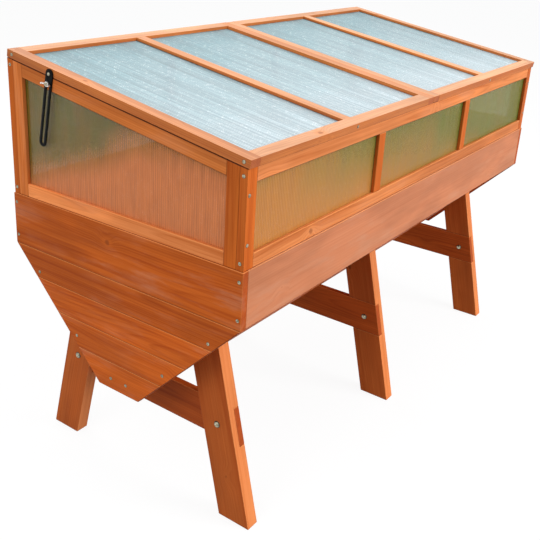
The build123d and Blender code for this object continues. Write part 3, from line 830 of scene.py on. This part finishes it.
def cross_outline(reach, half_width):
    """Outline of a cross recess, anticlockwise."""
    arm = [(reach, -half_width), (reach, half_width), (half_width, half_width)]
    turns = [(1, 0), (0, 1), (-1, 0), (0, -1)]
    return [Vector((x * c - y * s, x * s + y * c, 0)) for c, s in turns for x, y in arm]


def add_screw(mesh, place, radius, length):
    """One screw at a place whose Z axis points out of the timber."""
    bands = [
        ring(mesh, place, screw_shank_radius / 3, -length),
        ring(mesh, place, screw_shank_radius, -length + 2 * radius),
        ring(mesh, place, screw_shank_radius, -(radius - screw_shank_radius)),
    ]
    for width, height, grime_and_shade in screw_crown:
        bands.append(ring(mesh, place, radius * width, screw_dome * height, grime_and_shade))
    for lower, upper in zip(bands, bands[1:]):
        skin(mesh, lower, upper)
    tip, crown = bands[0], bands[-1]
    mesh.faces.new(list(reversed(tip)))
    share = radius / screw_head_radius
    outline = cross_outline(recess_reach * share, recess_half_width * share)
    top = Vector((0, 0, screw_dome))
    bottom = Vector((0, 0, screw_dome - recess_depth * share))
    lip = [mesh.verts.new(place @ (p + top)) for p in outline]
    floor = [mesh.verts.new(place @ (p * recess_taper + bottom)) for p in outline]
    inverse = place.inverted()
    rings = [[inverse @ v.co for v in crown], [inverse @ v.co for v in lip]]
    for a, b, c in tessellate_polygon(rings):
        mesh.faces.new([(crown + lip)[k] for k in (a, b, c)])
    for i in range(len(lip)):
        j = (i + 1) % len(lip)
        mesh.faces.new((lip[i], lip[j], floor[j], floor[i]))
    mesh.faces.new(floor)


def screw_place(group):
    """Place and length of a CAD screw: its head's middle, with Z out of the timber."""
    edges = {edge for vert in group for edge in vert.link_edges}
    longest = max(edges, key=lambda edge: edge.calc_length())
    axis = (longest.verts[1].co - longest.verts[0].co).normalized()
    middle = centre_of(group)
    heights = [(vert.co - middle).dot(axis) for vert in group]
    low, high = min(heights), max(heights)
    radii = [(vert.co - middle - axis * h).length for vert, h in zip(group, heights)]
    at_head = heights[radii.index(max(radii))]
    head, out = (high, axis) if at_head > (low + high) / 2 else (low, -axis)
    turn = out.to_track_quat("Z", "Y").to_matrix().to_4x4()
    return Matrix.Translation(middle + axis * head) @ turn, high - low


def smooth(piece):
    """Smooth shading, except over sharp edges."""
    for face in piece.data.polygons:
        face.use_smooth = True
    piece.data.set_sharp_from_angle(angle=math.radians(round_angle))


def finish_turned(name, mesh, node):
    """A zinc piece with smooth sides, on its node's body."""
    bmesh.ops.recalc_face_normals(mesh, faces=mesh.faces)
    piece = place_piece(name, mesh, node, zinc)
    smooth(piece)
    return piece


def dress_screws(node):
    """Cross-head screws in the place of the plain ones."""
    source = welded(node)
    made = turned_mesh()
    draw = random.Random(node)
    for group in islands(source):
        place, length = screw_place(group)
        spin = Matrix.Rotation(draw.uniform(0, math.pi), 4, "Z")
        add_screw(made, place @ spin, screw_head_radius, length)
    source.free()
    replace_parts(finish_turned(f"{node}_cross_head", made, node), node)


def dress_turned(node, profile):
    """Round headed pins in the place of the many-sided ones."""
    source = welded(node)
    made = turned_mesh()
    for group in islands(source):
        place, _ = screw_place(group)
        add_turned(made, place, profile)
    source.free()
    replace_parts(finish_turned(f"{node}_turned", made, node), node)


def hinge_screws(node):
    """Small screws through the plates of the hinge leaves."""
    source = welded(node)
    made = turned_mesh()
    draw = random.Random(node)
    for group in islands(source):
        faces = {face for vert in group for face in vert.link_faces}
        outward = [face for face in faces if face.normal.y > facing_back]
        plate = max(outward, key=lambda face: face.calc_area())
        middle = plate.calc_center_bounds()
        turn = plate.normal.to_track_quat("Z", "Y").to_matrix().to_4x4()
        for step in hinge_screw_rows:
            spot = Matrix.Translation(middle + Vector((step, 0, 0)))
            spin = Matrix.Rotation(draw.uniform(0, math.pi), 4, "Z")
            add_screw(made, spot @ turn @ spin, hinge_screw_radius, hinge_screw_length)
    source.free()
    finish_turned(f"{node}_fixings", made, node)


def dress_hardware(node, material, offset):
    """A small metal piece with softened edges."""
    mesh = welded(node)
    edges = [
        edge for edge in mesh.edges
        if edge.is_manifold and edge.calc_face_angle() > math.radians(sharp_angle)
    ]
    bmesh.ops.bevel(
        mesh,
        geom=edges,
        offset=offset,
        offset_type="OFFSET",
        segments=bevel_steps,
        profile=0.5,
        affect="EDGES",
        clamp_overlap=True,
    )
    piece = place_piece(f"{node}_finished", mesh, node, material)
    smooth(piece)
    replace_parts(piece, node)


timbers = {
    "trough_timber": end_fir,
    "leg_timber": leg_fir,
    "wall_timber": wall_fir,
    "lid_timber": lid_fir,
}
long_rims = ("front_rim_board", "back_rim_board")
side_frames = ("end_wall_top_rails", "end_wall_back_stiles")


def end_painted_view(spot):
    """Share of an end pane's upper painted view: the two painted views meet on a line that rises
    to the front.
    """
    line = rail_head + min(end_view_rise - end_view_slope * spot.y, end_view_top)
    return 0.5 + (spot.z - line) / end_view_band


def long_painted_view(spot):
    """Share of a long wall's upper painted view: the two painted views meet on a line that falls
    along X.
    """
    line = rail_head + long_view_rise - long_view_slope * spot.x
    return 0.5 + (spot.z - line) / long_view_band


rail_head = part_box("front_wall_bottom_rail")[1][2]
for node, slot in slots.items():
    if node in long_rims:
        dress_timber(node, rim_fir)
    elif node.endswith("_brace"):
        dress_timber(node, brace_fir)
    elif node.endswith(("_wall_stiles", "_mullions")) or node == "end_wall_front_stiles":
        dress_timber(node, stile_fir)
    elif node in side_frames:
        dress_timber(node, side_fir)
    elif slot in timbers:
        dress_timber(node, timbers[slot])
    elif node == "end_wall_panes":
        dress_panes(node, end_sheet, end_painted_view)
    elif node.endswith("_wall_panes"):
        dress_panes(node, long_sheet, long_painted_view)
    elif node.endswith("_panes"):
        dress_panes(node, lid_sheet)
    elif node.endswith("_screws"):
        dress_screws(node)
    elif node == "brace_bolts":
        dress_turned(node, bolt_profile)
    elif node.endswith("_pivot"):
        dress_turned(node, pivot_profile)
    elif slot == "black_steel":
        dress_hardware(node, black, strap_round)
    elif node.endswith("_wing_nut"):
        dress_hardware(node, bright_zinc, fitting_round)
    else:
        dress_hardware(node, zinc, fitting_round)
        if node.endswith("_leaves"):
            hinge_screws(node)


# Stage: pale floor, white surroundings, soft lamps and the camera

def white_to_the_eye(tree, shaded, share):
    """A mix of a shaded look with plain white, by a share, for the eye and for reflections."""
    path = tree.nodes.new("ShaderNodeLightPath")
    seen = path.outputs["Is Camera Ray"]
    for name in ("Is Glossy Ray", "Is Transmission Ray"):
        either = tree.nodes.new("ShaderNodeMath")
        either.operation = "MAXIMUM"
        tree.links.new(seen, either.inputs[0])
        tree.links.new(path.outputs[name], either.inputs[1])
        seen = either.outputs[0]
    factor = tree.nodes.new("ShaderNodeMath")
    factor.operation = "MULTIPLY"
    tree.links.new(seen, factor.inputs[0])
    factor.inputs[1].default_value = share
    mixed = tree.nodes.new("ShaderNodeMixShader")
    tree.links.new(factor.outputs[0], mixed.inputs[0])
    tree.links.new(shaded, mixed.inputs[1])
    return mixed


floor_reach = 40.0
floor_white_share = 0.9
floor_level = 0.86
floor_bounce = 0.26
sky_tint = (0.96, 0.98, 1.0, 1)
sky_level = 0.8

# Lamps as (name, place, size, watts)
lamps = (
    ("key_lamp", (1.2, -4.8, 3.6), 2.6, 255),
    ("top_lamp", (-0.6, 0.6, 5.2), 3.2, 80),
    ("side_lamp", (-4.6, 0.0, 3.4), 2.4, 72),
    ("back_lamp", (1.0, 5.0, 2.6), 3.0, 90),
)

floor_mesh = bpy.data.meshes.new("studio_floor")
corners = [(x * floor_reach, y * floor_reach, 0) for x, y in ((-1, -1), (1, -1), (1, 1), (-1, 1))]
floor_mesh.from_pydata(corners, [], [(0, 1, 2, 3)])
floor = bpy.data.objects.new("studio_floor", floor_mesh)
bpy.context.scene.collection.objects.link(floor)
floor_look = Look("pale_floor")
floor_path = floor_look.add("ShaderNodeLightPath").outputs["Is Diffuse Ray"]
floor_colour = floor_look.mix(floor_path, grey(floor_level), grey(floor_bounce))
floor_look.set(Base_Color=floor_colour, Roughness=0.9)
floor_look.set(Specular_IOR_Level=0.1)
floor_glow = floor_look.add("ShaderNodeEmission")
floor_glow.inputs["Color"].default_value = grey(1.0)
floor_mix = white_to_the_eye(floor_look.tree, floor_look.shader.outputs[0], floor_white_share)
floor_look.tree.links.new(floor_glow.outputs[0], floor_mix.inputs[2])
floor_end = floor_look.tree.nodes["Material Output"].inputs["Surface"]
floor_look.tree.links.new(floor_mix.outputs[0], floor_end)
floor_mesh.materials.append(floor_look.material)

world = bpy.data.worlds.new("studio_world")
bpy.context.scene.world = world
world.use_nodes = True
sky = world.node_tree.nodes["Background"]
sky.inputs["Color"].default_value = sky_tint
sky.inputs["Strength"].default_value = sky_level
white = world.node_tree.nodes.new("ShaderNodeBackground")
white.inputs["Color"].default_value = grey(1.0)
world_mix = white_to_the_eye(world.node_tree, sky.outputs[0], 1.0)
world.node_tree.links.new(white.outputs[0], world_mix.inputs[2])
world.node_tree.links.new(
    world_mix.outputs[0], world.node_tree.nodes["World Output"].inputs["Surface"]
)


def soft_lamp(name, place, target, size, watts):
    """A square soft box aimed at a point."""
    lamp = bpy.data.lights.new(name, "AREA")
    lamp.size = size
    lamp.energy = watts
    holder = bpy.data.objects.new(name, lamp)
    holder.location = place
    holder.rotation_euler = (Vector(target) - Vector(place)).to_track_quat("-Z", "Y").to_euler()
    bpy.context.scene.collection.objects.link(holder)


middle = (cad_box[0] + cad_box[1]) / 2
for name, place, size, watts in lamps:
    soft_lamp(name, place, middle, size, watts)

image_size = 540
focal_pixels = 789.55
principal_point = (234.37, 220.30)
sensor = 36.0
camera_place = (-2.1555, -1.2819, 1.4832)
view_right = Vector((0.60579393, -0.79460503, 0.04020638))
view_forward = Vector((0.75115174, 0.55454521, -0.35812103))

lens = bpy.data.cameras.new("photo_camera")
lens.sensor_width = sensor
lens.lens = focal_pixels / image_size * sensor
lens.shift_x = 0.5 - principal_point[0] / image_size
lens.shift_y = principal_point[1] / image_size - 0.5
camera = bpy.data.objects.new("photo_camera", lens)
camera_axes = Matrix((view_right, view_right.cross(view_forward), -view_forward)).transposed()
camera.matrix_world = Matrix.Translation(camera_place) @ camera_axes.to_4x4()
bpy.context.scene.collection.objects.link(camera)
bpy.context.scene.camera = camera
bpy.context.scene.view_settings.view_transform = "Standard"
